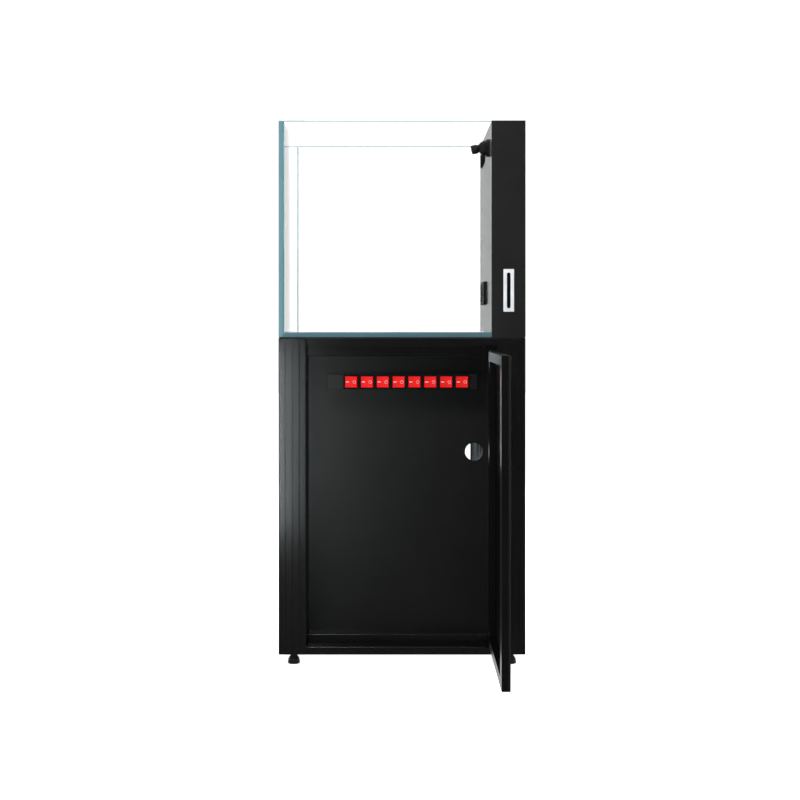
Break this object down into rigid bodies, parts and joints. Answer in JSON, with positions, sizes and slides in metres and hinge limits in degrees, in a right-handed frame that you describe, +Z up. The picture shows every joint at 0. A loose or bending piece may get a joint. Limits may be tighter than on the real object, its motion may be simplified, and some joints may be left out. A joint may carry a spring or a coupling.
{
  "type": "aquarium on stand",
  "caption": "Rimless glass aquarium with a black side overflow, on a black cabinet with grooved corner posts, open inset door, red rocker switch bar and levelling feet",
  "frame": {"origin": "middle of the cabinet's footprint, on the floor", "axes": "+X to the right along the front, +Y back from the front, +Z up"},
  "size_m": [0.6035, 0.988, 1.325],
  "materials": {
    "frame_black": "satin powder coat",
    "panel_black": "satin",
    "door_black": "satin powder coat",
    "deck_black": "matt",
    "foam_black": "matt foam",
    "glass_clear": "polished, pale blue-green edges",
    "glass_black": "gloss black glass",
    "silicone_clear": "clear silicone",
    "cover_black": "satin black",
    "plate_silver": "satin",
    "abs_black": "moulded black",
    "pvc_grey": "semi gloss",
    "rocker_red": "gloss red with white marks",
    "magnet_steel": "plated",
    "pivot_steel": "black oxide",
    "foot_black": "moulded black"
  },
  "bodies": {
    "tank_and_stand": {"post_front_left": "frame_black", "post_front_right": "frame_black", "post_rear_left": "frame_black", "post_rear_right": "frame_black", "front_rails": "frame_black", "inner_rails": "frame_black", "rear_rails": "frame_black", "side_rails": "frame_black", "top_deck": "deck_black", "floor_panel": "deck_black", "partition_panel": "panel_black", "right_panel": "panel_black", "rear_panel": "panel_black", "latch_magnets": "magnet_steel", "tank_mat": "foam_black", "bottom_pane": "glass_clear", "front_pane": "glass_clear", "back_pane": "glass_clear", "left_pane": "glass_clear", "right_pane": "glass_clear", "weir_wall": "glass_black", "silicone_seams": "silicone_clear", "overflow_cover": "cover_black", "level_plate": "plate_silver", "intake_grille": "abs_black", "return_bulkhead": "abs_black", "bulkhead_nuts": "abs_black", "floor_bulkheads": "abs_black", "return_riser": "abs_black", "standpipe": "abs_black", "drain_pipe": "pvc_grey", "return_pipe": "pvc_grey", "sump_tank": "glass_clear", "return_pump": "abs_black", "switch_housing": "frame_black", "switch_end_caps": "abs_black", "switch_bezels": "abs_black", "pivot_plates": "pivot_steel", "foot_sockets": "abs_black"},
    "front_door": {"front_door_skin": "door_black", "front_door_frame": "door_black", "front_door_pivots": "pivot_steel"},
    "side_door": {"side_door_skin": "door_black", "side_door_frame": "door_black", "side_door_pivots": "pivot_steel"},
    "return_swivel": {"return_socket": "abs_black", "down_jet": "abs_black"},
    "jet_nozzle": {"return_nozzle": "abs_black"},
    "switch_1": {"rocker_1": "rocker_red"},
    "switch_2": {"rocker_2": "rocker_red"},
    "switch_3": {"rocker_3": "rocker_red"},
    "switch_4": {"rocker_4": "rocker_red"},
    "switch_5": {"rocker_5": "rocker_red"},
    "switch_6": {"rocker_6": "rocker_red"},
    "switch_7": {"rocker_7": "rocker_red"},
    "switch_8": {"rocker_8": "rocker_red"},
    "level_front_left": {"foot_front_left": "foot_black"},
    "level_front_right": {"foot_front_right": "foot_black"},
    "level_rear_left": {"foot_rear_left": "foot_black"},
    "level_rear_right": {"foot_rear_right": "foot_black"}
  },
  "joints": [
    {"name": "front_door_hinge", "type": "hinge", "parent": "tank_and_stand", "child": "front_door", "pos_m": [0.229, -0.265, 0.4], "axis": [0, 0, -1], "range_deg": [-15, 90]},
    {"name": "side_door_hinge", "type": "hinge", "parent": "tank_and_stand", "child": "side_door", "pos_m": [-0.3, 0.171, 0.4], "axis": [0, 0, -1], "range_deg": [0, 105]},
    {"name": "return_turn", "type": "hinge", "parent": "tank_and_stand", "child": "return_swivel", "pos_m": [0.208, -0.16, 1.27], "axis": [1, 0, 0], "range_deg": [-40, 40]},
    {"name": "nozzle_tilt", "type": "hinge", "parent": "return_swivel", "child": "jet_nozzle", "pos_m": [0.196, -0.16, 1.27], "axis": [0, 1, 0], "range_deg": [-2, 28]},
    {"name": "rocker_1_press", "type": "hinge", "parent": "tank_and_stand", "child": "switch_1", "pos_m": [-0.1244, -0.2175, 0.6885], "axis": [0, 0, 1], "range_deg": [0, 14]},
    {"name": "rocker_2_press", "type": "hinge", "parent": "tank_and_stand", "child": "switch_2", "pos_m": [-0.08547, -0.2175, 0.6885], "axis": [0, 0, 1], "range_deg": [0, 14]},
    {"name": "rocker_3_press", "type": "hinge", "parent": "tank_and_stand", "child": "switch_3", "pos_m": [-0.04654, -0.2175, 0.6885], "axis": [0, 0, 1], "range_deg": [0, 14]},
    {"name": "rocker_4_press", "type": "hinge", "parent": "tank_and_stand", "child": "switch_4", "pos_m": [-0.00761, -0.2175, 0.6885], "axis": [0, 0, 1], "range_deg": [0, 14]},
    {"name": "rocker_5_press", "type": "hinge", "parent": "tank_and_stand", "child": "switch_5", "pos_m": [0.03132, -0.2175, 0.6885], "axis": [0, 0, 1], "range_deg": [0, 14]},
    {"name": "rocker_6_press", "type": "hinge", "parent": "tank_and_stand", "child": "switch_6", "pos_m": [0.07025, -0.2175, 0.6885], "axis": [0, 0, 1], "range_deg": [0, 14]},
    {"name": "rocker_7_press", "type": "hinge", "parent": "tank_and_stand", "child": "switch_7", "pos_m": [0.10918, -0.2175, 0.6885], "axis": [0, 0, 1], "range_deg": [0, 14]},
    {"name": "rocker_8_press", "type": "hinge", "parent": "tank_and_stand", "child": "switch_8", "pos_m": [0.14811, -0.2175, 0.6885], "axis": [0, 0, 1], "range_deg": [0, 14]},
    {"name": "level_front_left_travel", "type": "slide", "parent": "tank_and_stand", "child": "level_front_left", "axis": [0, 0, -1], "range_m": [0, 0.015]},
    {"name": "level_front_right_travel", "type": "slide", "parent": "tank_and_stand", "child": "level_front_right", "axis": [0, 0, -1], "range_m": [0, 0.015]},
    {"name": "level_rear_left_travel", "type": "slide", "parent": "tank_and_stand", "child": "level_rear_left", "axis": [0, 0, -1], "range_m": [0, 0.015]},
    {"name": "level_rear_right_travel", "type": "slide", "parent": "tank_and_stand", "child": "level_rear_right", "axis": [0, 0, -1], "range_m": [0, 0.015]}
  ]
}
